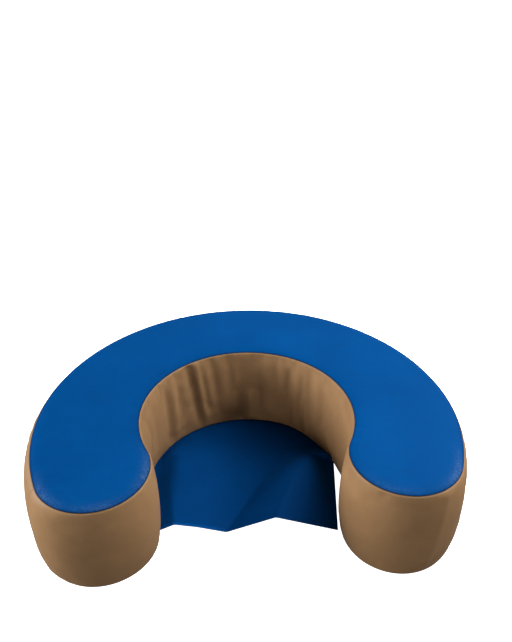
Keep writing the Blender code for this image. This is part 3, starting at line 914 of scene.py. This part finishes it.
def base_cover():
    _, tuck = bulges()
    tucked = {name: (points + away * tuck[name][:, None], away)
              for name, (points, away) in stations(SEAM_INSET).items()}
    flat = [np.dstack([plan, np.zeros(plan.shape[:2])]) for plan in plate_grids(tucked)]
    made = plate_panel("base_cover", flat, base_relief, flip=True)
    finished(thickened(made), BASE, "cushion", "base_vinyl", "base_panel")


# the foam: how far it lies in from the seams and up from the cover, how much lower it is, its crown's
# share of the cover's, and its walls' shares of the cover's bulges
FOAM_INSET = 0.0055
FOAM_CLEAR = 0.0015
FOAM_LOWER = 0.005
FOAM_CROWN = 0.6
FOAM_FULLNESS = {"outer": 0.6, "left": 0.6, "well": 0.1, "right": 0.6}


def foam_block():
    """The foam inside: the ring's plan with its cut faces and soft edges."""
    sides = stations(SEAM_INSET + FOAM_INSET)
    bulge, tuck = bulges()
    grids = []
    for name, side in sides.items():
        grid = wall_grid(side, bulge[name] * FOAM_FULLNESS[name], tuck[name], 1.0)
        lowered = (grid[..., 2] - VINYL) * (SEAM_HEIGHT - FOAM_LOWER) / SEAM_HEIGHT
        grid[..., 2] = VINYL + FOAM_CLEAR + lowered
        grids.append(grid)
    low, high = grids[0][0, 0, 2], grids[0][0, -1, 2]
    for level, crown in ((high, FOAM_CROWN), (low, 0.0)):
        for plan in plate_grids(sides):
            sheet = raise_plate(plan)
            sheet[..., 2] = level + crown * (sheet[..., 2] - SEAM_HEIGHT)
            grids.append(sheet)
    points, indices = weld(grids)
    faces = [face for index in indices[:7] for face in faces_of(index)]
    faces += [face[::-1] for index in indices[7:] for face in faces_of(index)]
    return finished(mesh_object("foam_ring", points, faces), FOAM, "cushion", "foam", "foam_core")


foam = foam_block()
top = top_cover()
outer = outer_cover()
inner = inner_cover()
base_cover()


# ---------------------------------------------------------------- seat mat

FOLD_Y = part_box("seat_mat_front")[1].y
FOLD_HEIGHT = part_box("seat_mat_rear")[1].z
MAT_LENGTH = 0.1425                 # from the fold line to the free edge, on the left
MAT_FRONT_SLANT = 0.0075            # how much longer it is on the right
MAT_LIFT = 0.0003
MAT_RISE_POWER = 1.05
# the creases: x at the free edge, x at the fold line, and height at the free edge
MAT_CREASES = ((-0.1420, -0.1600, 0.0115), (-0.1172, -0.1330, 0.0240), (-0.0830, -0.0750, 0.0170),
               (-0.0390, 0.0600, 0.0035), (0.0371, 0.1130, 0.0330), (0.1345, 0.1524, 0.0000))
# a broad roll along the mat's left side: x of its top, height, reach to its right and behind the fold
ROLL_PLACE = -0.113
ROLL_HEIGHT = 0.0180
ROLL_FALL = 0.100
ROLL_BACK = 0.085
# a slanting crest, steep on its left: x at the free edge and at the fold line, height and half widths,
# and where it ends as a share of MAT_LENGTH from the free edge
CREST_FRONT = 0.020
CREST_BACK = 0.108
CREST_HEIGHT = 0.0290
CREST_STEEP = 0.056
CREST_GENTLE = 0.110
CREST_END = 1.30
# small waves all over: height, wave lengths and seed
MAT_WAVES = (0.0007, (0.05, 0.09), 21)
CREASE_ROUNDING = 0.0025            # how far the creases are rounded at the free edge
FOLD_ROUNDING = 0.008               # and at the fold line
SEWN_EASE = 0.16                    # share of the free part over which its sides leave the sewn line
# over these distances the waves, and the roll and crest at the sewn and at the right edge, die out
WAVE_FADE = 0.02
SEWN_FADE = 0.03
RIGHT_FADE = 0.05
MAT_COLUMNS = 160
MAT_REAR_ROWS = 40
MAT_FRONT_ROWS = 52
MAT_CELL = (0.0028, 0.003)          # about how wide and long the sheet's cells are
HEM_SHADE = 0.0014
# painted shade: strength and reach along the sewn edge, then strength, reach, x and half width of a patch
SEWN_SHADE = (0.5, 0.006)
SHADE_PATCH = (0.66, 0.150, 0.038, 0.070)
# a painted highlight along the free edge, on its left: strength, reach and the two x that it fades between
FRONT_HIGHLIGHT = (1.1, 0.0045, -0.06, -0.03)


def eased(x, values, reach):
    """A line through the creases at the free edge's x, with its corners rounded over reach."""
    knots = [crease[0] for crease in MAT_CREASES]
    shifts = np.linspace(-reach, reach, 9)
    return sum(np.interp(x + shift, knots, values) for shift in shifts) / len(shifts)


def well_foot():
    """The line that the mat is sewn along: the bottom seam of the well, seen from above, and just past it."""
    points, away = stations(SEAM_INSET)["well"]
    return points + away * (bulges()[1]["well"] - GROOVE_DEPTH - 0.0006)[:, None]


def mat_swells(x, y, left):
    """Height of the mat's roll and crest at points in plan, for a left edge at the given x."""
    fade = smooth(y, FOLD_Y - MAT_LENGTH, FOLD_Y) * (1 - smooth(y, FOLD_Y, FOLD_Y + ROLL_BACK))
    roll = smooth((x - left) / (ROLL_PLACE - left), 0, 1)
    roll = roll * (1 - smooth(x, ROLL_PLACE, ROLL_PLACE + ROLL_FALL))
    reach = (y - (FOLD_Y - MAT_LENGTH)) / MAT_LENGTH
    off = x - (CREST_FRONT + (CREST_BACK - CREST_FRONT) * reach)
    crest = bell(off, np.where(off < 0, CREST_STEEP, CREST_GENTLE))
    swell = np.sin(math.pi * np.clip(reach / CREST_END, 0, 1))
    return ROLL_HEIGHT * fade * roll + CREST_HEIGHT * swell * crest


def mat_waves(x, y, inside):
    """Height of the mat's small waves at a distance inside its edge."""
    height, waves, seed = MAT_WAVES
    return height * smooth(inside, 0, WAVE_FADE) * (1 + ripple(x + 0.4 * (y - FOLD_Y), waves, seed))


def mat_points():
    """The mat's upper face from the sewn back edge to the free front edge."""
    front, back, heights = (np.array(column) for column in zip(*MAT_CREASES))
    even = np.linspace(0, 1, MAT_COLUMNS + 1)
    front_x = front[0] + (front[-1] - front[0]) * even
    back_x = eased(front_x, back, FOLD_ROUNDING)
    back_x[0], back_x[-1] = back[0], back[-1]
    rise = eased(front_x, heights, CREASE_ROUNDING)
    foot = well_foot()
    start, end = (np.interp(FOLD_Y, line[:, 1], line[:, 0]) for line in (foot[:50], foot[:-50:-1]))
    sewn_x = np.where(back_x < 0, back_x / back[0] * start, back_x / back[-1] * end)
    order = np.argsort(foot[:, 0])
    upper = order[foot[order, 1] > WELL_OFFSET + RING_Y]
    arc_y = np.interp(sewn_x, foot[upper, 0], foot[upper, 1])
    rows = []
    for share in np.linspace(0, 1, MAT_REAR_ROWS, endpoint=False):
        y = arc_y + (FOLD_Y - arc_y) * share
        wave = mat_waves(sewn_x, y, arc_y - y)
        wave = wave + mat_swells(sewn_x, y, sewn_x[0]) * smooth(arc_y - y, 0, SEWN_FADE)
        rows.append(np.column_stack([sewn_x, y, FOLD_HEIGHT + wave]))
    for along in np.linspace(0, 1, MAT_FRONT_ROWS + 1):
        free_x = back_x + (sewn_x - back_x) * float(1 - smooth(along, 0, SEWN_EASE))
        x = free_x + (front_x - free_x) * along
        y = FOLD_Y - (MAT_LENGTH + MAT_FRONT_SLANT * even) * along
        wave = mat_waves(x, y, np.minimum(x - x[0], x[-1] - x)) * (1 - along)
        wave = wave + mat_swells(x, y, x[0]) * smooth(x[-1] - x, 0, RIGHT_FADE)
        height = FOLD_HEIGHT + MAT_LIFT * along + rise * along ** MAT_RISE_POWER
        rows.append(np.column_stack([x, y, height + wave]))
    return np.array(rows)


def mat_marks(points):
    """Shade along the side hems, painted shade along the sewn edge and in a patch behind the middle, less a
    painted highlight on the left of the free edge.
    """
    columns, rows = np.arange(points.shape[1]), np.arange(points.shape[0])
    hem = bell(np.minimum(columns, columns[::-1])[None, :] * MAT_CELL[0], HEM_SHADE)
    sewn = points[0, :, 1] - points[..., 1]
    # painted shade along the sewn edge and in a broad patch behind the middle
    strength, reach, x, half = SHADE_PATCH
    shade_patch = strength * bell(sewn, reach) * bell(points[..., 0] - x, half)
    painted_dark = SEWN_SHADE[0] * bell(sewn, SEWN_SHADE[1]) + shade_patch
    # painted highlight along the left of the free edge: taken off the marks, so the colour gets paler there
    glint, glint_reach, full_x, end_x = FRONT_HIGHLIGHT
    front = rows[::-1][:, None] * MAT_CELL[1]
    painted_highlight = glint * bell(front, glint_reach) * (1 - smooth(points[..., 0], full_x, end_x))
    return np.maximum(hem, painted_dark) - painted_highlight


def seat_mat():
    """One sheet of vinyl: sewn to the bottom seam of the well at the back and free at the front."""
    points = mat_points()
    made = marked(surface("seat_mat", points), mat_marks(points))
    thickened(made, VINYL * 0.9)
    finished(made, SHADED_BLUE, None, "mat_vinyl", "seat_mat_rear", "seat_mat_front")
    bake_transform(made)


seat_mat()


# ---------------------------------------------------------------- zip

ZIP_AXIS = Matrix.Translation((0, RING_Y, ZIP_HEIGHT))
SLIDER_PLACE = ZIP_AXIS @ Matrix.Rotation(ZIP_HALF_ANGLE, 4, "Z")
TAPE_THICKNESS = 0.0004
COIL_INNER = TAPE_RADIUS + 0.0003
COIL_THICKNESS = 0.0018
COIL_WIDTH = 0.0026
COIL_WIRE = 0.00034
COIL_HALF_ANGLE = ZIP_HALF_ANGLE + 0.0145
COIL_STEPS = 8                      # points in each turn of the wire
CHAIN_HALF_GAP = 0.0006
# rows of stitches: pitch, half a stitch's length and the thread's radius
COIL_STITCH = (0.0024, 0.00105, 0.00018)
TOPSTITCH = (0.0034, 0.00135, 0.00026)
FRONT_LOW = COIL_INNER + COIL_THICKNESS + 0.0003
FRONT_TOP = FRONT_LOW + 0.0010
BRIDGE_HOLE = 0.00115               # how far the pull's eye lies over the slider's front plate


def on_ring(angle, radius, height):
    """A point round the outer wall's axis, level with the zip."""
    return (radius * math.cos(angle), RING_Y + radius * math.sin(angle), ZIP_HEIGHT + height)


def zip_tape(side, sign):
    """A tape with a ribbed woven edge and a bound inner edge under the coil."""
    reach = SLOT_HALF_ANGLE + 0.010
    near, far = CHAIN_HALF_GAP + 0.0001, ZIP_SLOT / 2 + 0.0058
    heights = np.array([near, near + 0.0004, near + 0.0030, near + 0.0034, near + 0.0038, far - 0.002, far])
    proud = np.array([-0.00010, 0.0, 0.0, 0.00008, 0.0, 0.0, 0.0]) - 0.0001
    if sign < 0:
        heights, proud = -heights[::-1], proud[::-1]
    points = np.array([[on_ring(angle, TAPE_RADIUS + out, height) for height, out in zip(heights, proud)]
                       for angle in np.linspace(math.pi / 2 + reach, math.pi / 2 - reach, 221)])
    made = thickened(surface(f"zip_tape_{side}_woven", points, flip=True), TAPE_THICKNESS)
    finished(made, TAPE, "cushion", "zip_tape", f"zip_tape_{side}")


def tube(name, path, radius, sides):
    """A round wire with closed ends through the points of a path."""
    path = np.asarray(path, float)
    forward = np.gradient(path, axis=0)
    forward /= np.linalg.norm(forward, axis=1, keepdims=True)
    reference = np.where(np.abs(forward[:, 2:3]) < 0.9, [[0, 0, 1.0]], [[1.0, 0, 0]])
    first = np.cross(forward, reference)
    first /= np.linalg.norm(first, axis=1, keepdims=True)
    second = np.cross(forward, first)
    turns = np.linspace(0, 2 * math.pi, sides, endpoint=False)
    ring = first[:, None] * np.cos(turns)[:, None] + second[:, None] * np.sin(turns)[:, None]
    points = path[:, None] + radius * ring
    index = index_grid(points.shape[:2])
    ends = [tuple(index[0].tolist()), tuple(index[-1, ::-1].tolist())]
    faces = faces_of(np.concatenate([index, index[:, :1]], axis=1)) + ends
    return mesh_object(name, points.reshape(-1, 3), faces)


def zip_coil(side, sign):
    """Half of the chain: a nylon monofilament wound into a flattened spiral."""
    turns = int(2 * COIL_HALF_ANGLE * OUTER_RADIUS / TOOTH_PITCH)
    middle = CHAIN_HALF_GAP - 0.0002 + COIL_WIDTH / 2
    lead = (0.5 - sign / 2) * TOOTH_PITCH / 2 / OUTER_RADIUS
    path = []
    for i in range(turns * COIL_STEPS + 1):
        phase = 2 * math.pi * i / COIL_STEPS
        angle = math.pi / 2 - COIL_HALF_ANGLE + 2 * COIL_HALF_ANGLE * i / (turns * COIL_STEPS)
        across = (COIL_WIDTH / 2 - COIL_WIRE) * math.cos(phase)
        deep = (COIL_THICKNESS / 2 - COIL_WIRE) * math.sin(phase)
        path.append(on_ring(angle + lead, COIL_INNER + COIL_THICKNESS / 2 + deep, sign * (middle - across)))
    made = tube(f"zip_coil_{side}_spiral", path, COIL_WIRE, 5)
    finished(made, COIL, "cushion", "zip_coil", f"zip_coil_{side}")


def stitches(name, reach, kind, shape):
    """A row of short threads as one piece: shape is one stitch's radius and height from -1 to 1 along it."""
    pitch, half_length, thread = kind
    count = int(2 * reach * OUTER_RADIUS / pitch)
    points, faces, used = [], [], 0
    for i in range(count):
        middle = math.pi / 2 - reach + 2 * reach * (i + 0.5) / count
        path = [on_ring(middle + t * half_length / OUTER_RADIUS, *place) for t, *place in shape]
        made = tube("one_stitch", path, thread, 6)
        data = made.data
        points.append(points_of(data))
        faces += [tuple(used + v for v in face.vertices) for face in data.polygons]
        used += len(data.vertices)
        bpy.data.objects.remove(made, do_unlink=True)
        bpy.data.meshes.remove(data)
    return mesh_object(name, np.concatenate(points), faces)


def coil_sewing(side, sign):
    """The chain stitch that holds the coil to its tape: a row of short crossing threads."""
    height = sign * (CHAIN_HALF_GAP + COIL_WIDTH * 0.55)
    shape = [(t, COIL_INNER + COIL_THICKNESS + 0.00012 * (1 - t * t), height)
             for t in (-1.0, -0.5, 0.0, 0.5, 1.0)]
    made = stitches(f"coil_sewing_{side}", COIL_HALF_ANGLE, COIL_STITCH, shape)
    finished(made, THREAD, "cushion", "thread")


def topstitch(side, sign):
    """A row of lockstitch along the opening: each stitch dips into the vinyl at its ends."""
    height = sign * (ZIP_SLOT / 2 + 0.0025)
    shape = [(t, OUTER_RADIUS + 0.00028 - 0.0006 * t ** 4, height + 0.00008 * t)
             for t in (-1.0, -0.8, -0.45, 0.0, 0.45, 0.8, 1.0)]
    made = stitches(f"topstitch_{side}", SLOT_HALF_ANGLE, TOPSTITCH, shape)
    finished(made, THREAD, "cushion", "thread", f"zip_topstitch_{side}")


def rounded_block(size, location, bevel, taper=0.0):
    """A block with rounded edges, which can get lower towards +X."""
    work = bmesh.new()
    bmesh.ops.create_cube(work, size=1.0)
    bmesh.ops.scale(work, vec=size, verts=work.verts[:])
    bmesh.ops.bevel(work, geom=work.edges[:], offset=bevel, segments=3, profile=0.5, affect="EDGES")
    bmesh.ops.translate(work, vec=location, verts=work.verts[:])
    for vert in work.verts:
        vert.co.z *= 1.0 - taper * smooth(vert.co.x, 0.0, 0.0045)
    return work


def sharp_edged(name, data, body, node, degrees):
    """A metal piece, shaded smooth but for its sharp edges."""
    data.shade_smooth()
    data.set_sharp_from_angle(angle=math.radians(degrees))
    finished(placed(name, data), METAL, body, "zip_metal", node)


def joined(name, blocks, matrix, body, node):
    """Several blocks as one metal piece."""
    data = bpy.data.meshes.new(name)
    whole = bmesh.new()
    for block in blocks:
        part = rounded_block(*block)
        temporary = bpy.data.meshes.new("part")
        part.to_mesh(temporary)
        part.free()
        whole.from_mesh(temporary)
        bpy.data.meshes.remove(temporary)
    whole.transform(matrix)
    whole.to_mesh(data)
    whole.free()
    sharp_edged(name, data, body, node, 50)


def zip_slider():
    """The slider: a tapered front plate with flanges, a back plate, and the bridge that holds the pull."""
    blocks = [((0.0090, 0.0010, 0.0090), (0, FRONT_LOW + 0.0005, 0), 0.00035, 0.10)]
    for sign in (1, -1):
        blocks.append(((0.0088, 0.0023, 0.0009), (0, FRONT_LOW - 0.0006, sign * 0.00400), 0.0003, 0.10))
    for end in (1, -1):
        blocks.append(((0.0012, 0.0031, 0.0018), (end * 0.0018, FRONT_TOP + 0.0011, 0), 0.0003))
    blocks.append(((0.0048, 0.0010, 0.0018), (0, FRONT_TOP + 0.0028, 0), 0.0004))
    blocks.append(((0.0088, 0.0006, 0.0088), (0, TAPE_RADIUS - 0.0005 - 0.0006, 0), 0.0002))
    joined("zip_slider_cast", blocks, SLIDER_PLACE, "slider", "zip_slider")


def squared(value, power):
    """A sine or cosine raised to a power below 1, with its sign: it makes an ellipse squarer."""
    return math.copysign(abs(value) ** power, value)


def zip_pull():
    """The pull: a stamped tab, waisted, with an eye at the slider and a slot at its free end."""
    curve = bpy.data.curves.new("zip_pull_stamped", "CURVE")
    curve.dimensions = "2D"
    curve.fill_mode = "BOTH"
    curve.extrude = 0.00035
    curve.bevel_depth = 0.00025
    curve.bevel_resolution = 2
    curve.offset = -0.00025
    turns = np.linspace(0, 2 * math.pi, 72, endpoint=False)
    eye_end, free_end = -0.0006, 0.0254
    middle, long_half = (eye_end + free_end) / 2, (free_end - eye_end) / 2
    outline = []
    for a in turns:
        x = middle + long_half * squared(math.cos(a), 0.45)
        half = 0.0031 - 0.0008 * math.exp(-((x - 0.0075) / 0.004) ** 2)
        outline.append((x, half * squared(math.sin(a), 0.55)))
    loops = [outline]
    for centre, long, wide in ((0.0021, 0.0015, 0.0013), (0.0195, 0.0035, 0.0011)):
        loops.append([(centre + long * squared(math.cos(a), 0.6), wide * squared(math.sin(a), 0.6))
                      for a in -turns[::2]])
    for points in loops:
        spline = curve.splines.new("POLY")
        spline.points.add(len(points) - 1)
        for point, (x, y) in zip(spline.points, points):
            point.co = (x, y, 0, 1)
        spline.use_cyclic_u = True
    made = placed("zip_pull_stamped", curve)
    eye = Matrix.Translation((0, FRONT_TOP + BRIDGE_HOLE, 0))
    made.matrix_world = SLIDER_PLACE @ eye @ Matrix.Rotation(math.pi / 2, 4, "X")
    bpy.context.view_layer.update()
    data = bpy.data.meshes.new_from_object(made.evaluated_get(bpy.context.evaluated_depsgraph_get()))
    data.transform(made.matrix_world)
    bpy.data.objects.remove(made, do_unlink=True)
    sharp_edged("zip_pull_stamped", data, "pull", "zip_pull", 40)


def zip_stop(side, sign):
    """A stamped metal clip across both tapes."""
    angle = sign * (ZIP_HALF_ANGLE + (0.0045 + 0.0003 + 0.0020 + 0.0003) / OUTER_RADIUS)
    blocks = [((0.0038, 0.0019, 0.0088), (0, COIL_INNER + 0.00105, 0), 0.0006)]
    place = ZIP_AXIS @ Matrix.Rotation(angle, 4, "Z")
    joined(f"zip_stop_{side}_clip", blocks, place, "cushion", f"zip_stop_{side}")


for zip_side, zip_sign in (("upper", 1), ("lower", -1)):
    for make in (zip_tape, zip_coil, coil_sewing, topstitch):
        make(zip_side, zip_sign)
zip_slider()
zip_pull()
zip_stop("left", 1)
zip_stop("right", -1)


# ---------------------------------------------------------------- floor, lights, camera

GLOW = {"Emission_Color": (1, 1, 1, 1), "Emission_Strength": 1.3}
FLOOR_HALF = 14.0
FLOOR_DROP = 0.0002
# the soft lights: place, width and height, power
SOFTBOXES = {
    "left_softbox": ((-3.0, 0.1, 1.0), (2.0, 1.1), 212),
    "right_softbox": ((1.15, 0.16, 1.26), (1.9, 1.5), 80),
    "front_softbox": ((-0.8, -2.2, 0.32), (2.4, 0.6), 19),
    "back_softbox": ((0.3, 2.4, 0.60), (2.4, 0.8), 14),
}


def staged(made, look, *hidden_from):
    """Stage a piece of the surroundings, hidden from some kinds of ray."""
    made.data.materials.append(look)
    for ray in hidden_from:
        setattr(made, "visible_" + ray, False)


def floor():
    white = (0.86, 0.86, 0.86)
    look, tree, shader = shader_of("pale_floor", white, 0.6, Specular_IOR_Level=0.1, **GLOW)
    fed(tree, shader, Base_Color=toned(tree, white, (noise(tree, 40, 3), 0.99, 1.01)))
    corners = [(x * FLOOR_HALF, y * FLOOR_HALF, -FLOOR_DROP) for x, y in ((-1, -1), (1, -1), (1, 1), (-1, 1))]
    staged(mesh_object("floor", corners, [(0, 1, 2, 3)]), look, "diffuse", "glossy")


def backdrop():
    """A round white wall far behind everything, which only the camera sees."""
    look, _, _ = shader_of("backdrop_white", (0.9, 0.9, 0.9), 0.8, **GLOW)
    turns = np.linspace(0, 2 * math.pi, 49)
    points = np.array([[(9 * math.cos(a), 9 * math.sin(a), z) for z in (-0.5, 9.0)] for a in turns])
    staged(surface("backdrop", points), look, "diffuse", "glossy", "transmission", "shadow")


def softbox(name, place, size, power):
    """A soft light that faces the cushion."""
    lamp = bpy.data.lights.new(name, "AREA")
    lamp.shape = "RECTANGLE"
    lamp.size, lamp.size_y = size
    lamp.energy = power
    made = placed(name, lamp)
    made.location = place
    made.rotation_euler = (Vector((0, 0, 0.1)) - Vector(place)).to_track_quat("-Z", "Y").to_euler()
    made.visible_glossy = name != "back_softbox"


def studio():
    floor()
    backdrop()
    scene = bpy.context.scene
    scene.world = bpy.data.worlds.new("studio")
    scene.world.use_nodes = True
    background = scene.world.node_tree.nodes["Background"]
    background.inputs["Color"].default_value = (1, 1, 1, 1)
    background.inputs["Strength"].default_value = 0.18
    scene.view_settings.view_transform = "Standard"
    for name, light in SOFTBOXES.items():
        softbox(name, *light)
    lens = bpy.data.cameras.new("camera")
    lens.lens = 38.5
    camera = placed("camera", lens)
    camera.location = (-0.0415, -0.8882, 0.8403)
    camera.rotation_euler = (math.radians(90 - 32.02), 0, math.radians(-3.85))
    scene.camera = camera


studio()
